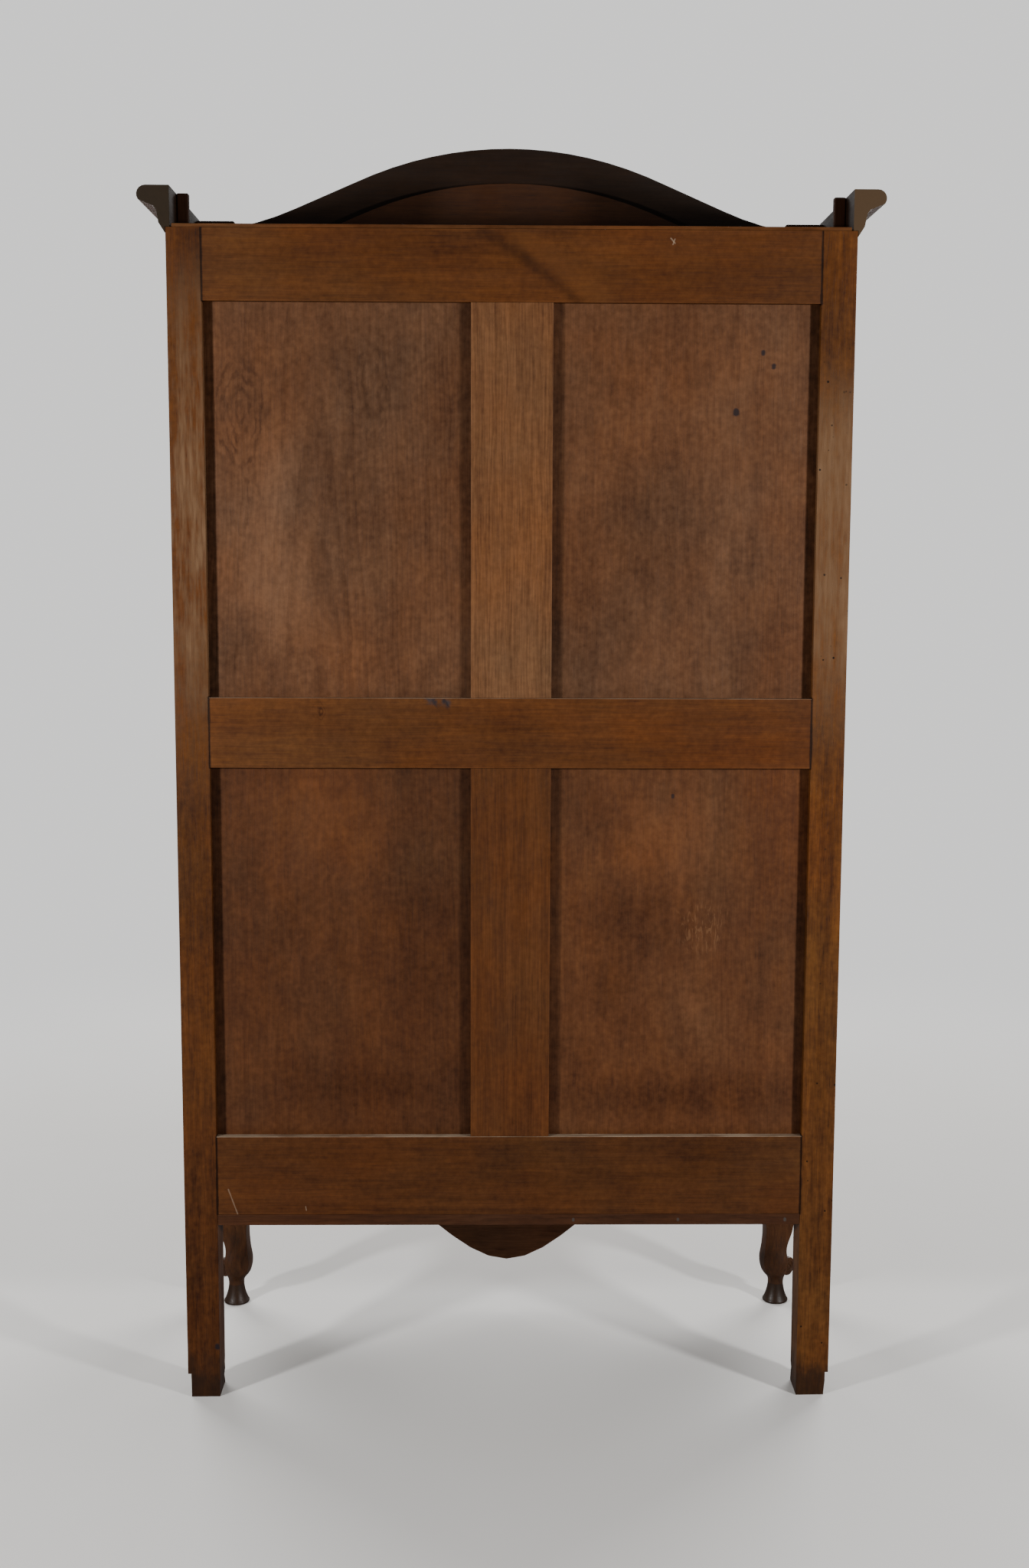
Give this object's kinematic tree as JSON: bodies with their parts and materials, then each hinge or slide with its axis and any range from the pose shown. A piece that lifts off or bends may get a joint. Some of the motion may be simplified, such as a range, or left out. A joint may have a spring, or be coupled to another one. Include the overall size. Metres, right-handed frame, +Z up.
{
  "type": "display cabinet",
  "caption": "Wooden display cabinet with a panelled back, arched moulded cornice, scrolled front legs, glazed sides, shelves and lockable glazed doors.",
  "frame": {"origin": "on the floor, under the middle of the overall box", "axes": "+Z up, the doors face -Y, +X to the right of someone who faces the doors"},
  "size_m": [1.0958, 0.4415, 1.993],
  "materials": {
    "walnut": "stained brown, old wax, satin",
    "dark_walnut": "dark stained, satin",
    "panel_wood": "reddish brown stain, dull",
    "pale_wood": "raw, dusty",
    "glass": "clear",
    "brass": "aged, satin",
    "steel": "worn"
  },
  "bodies": {
    "carcase": {"apron_rail": "walnut", "back_bottom_rail": "walnut", "back_lower_muntin": "walnut", "back_middle_rail": "walnut", "back_panel_lower_left": "panel_wood", "back_panel_lower_right": "panel_wood", "back_panel_upper_left": "panel_wood", "back_panel_upper_right": "panel_wood", "back_top_rail": "walnut", "back_upper_muntin": "walnut", "bottom_board": "walnut", "cornice_block_left": "walnut", "cornice_block_right": "walnut", "cornice_front": "dark_walnut", "cornice_left": "walnut", "cornice_right": "walnut", "frieze_rail": "dark_walnut", "front_foot_left": "dark_walnut", "front_foot_right": "dark_walnut", "front_post_left": "walnut", "front_post_right": "walnut", "left_lower_hinge_pin": "brass", "left_upper_hinge_pin": "brass", "rear_post_left": "walnut", "rear_post_right": "walnut", "right_lower_hinge_pin": "brass", "right_upper_hinge_pin": "brass", "shelf_lower": "walnut", "shelf_middle": "walnut", "shelf_upper": "walnut", "side_apron_left": "walnut", "side_apron_right": "walnut", "side_glass_left": "glass", "side_glass_right": "glass", "side_top_rail_left": "walnut", "side_top_rail_right": "walnut", "top_board": "pale_wood"},
    "left_door": {"left_door_bottom_rail": "walnut", "left_door_glass": "glass", "left_door_hinge_stile": "walnut", "left_door_lower_knuckle": "brass", "left_door_meeting_stile": "walnut", "left_door_middle_rail": "walnut", "left_door_panel": "panel_wood", "left_door_top_rail": "walnut", "left_door_upper_knuckle": "brass"},
    "right_door": {"right_door_bottom_rail": "walnut", "right_door_glass": "glass", "right_door_hinge_stile": "walnut", "right_door_lower_knuckle": "brass", "right_door_meeting_stile": "walnut", "right_door_middle_rail": "walnut", "right_door_panel": "panel_wood", "right_door_top_rail": "walnut", "right_door_upper_knuckle": "brass", "lock_case": "steel"},
    "key": {"key": "steel"},
    "lock_bolt": {"lock_bolt": "steel"},
    "upper_bolt": {"upper_bolt": "brass"},
    "lower_bolt": {"lower_bolt": "brass"}
  },
  "joints": [
    {"name": "left_door_hinge", "type": "hinge", "parent": "carcase", "child": "left_door", "pos_m": [-0.4545, -0.18425, 0.318], "axis": [0, 0, -1], "range_deg": [0, 150]},
    {"name": "right_door_hinge", "type": "hinge", "parent": "carcase", "child": "right_door", "pos_m": [0.4545, -0.18425, 0.318], "axis": [0, 0, 1], "range_deg": [0, 150]},
    {"name": "key_turn", "type": "hinge", "parent": "right_door", "child": "key", "pos_m": [0.031, -0.17725, 1.14], "axis": [0, -1, 0], "range_deg": [0, 180]},
    {"name": "lock_bolt_slide", "type": "slide", "parent": "right_door", "child": "lock_bolt", "axis": [-1, 0, 0], "range_m": [0, 0.012]},
    {"name": "upper_bolt_slide", "type": "slide", "parent": "left_door", "child": "upper_bolt", "axis": [0, 0, 1], "range_m": [0, 0.012]},
    {"name": "lower_bolt_slide", "type": "slide", "parent": "left_door", "child": "lower_bolt", "axis": [0, 0, -1], "range_m": [0, 0.012]}
  ],
  "couplings": [
    {"joint": "lock_bolt_slide", "follows": "key_turn", "m_per_rad": 0.0038197}
  ]
}
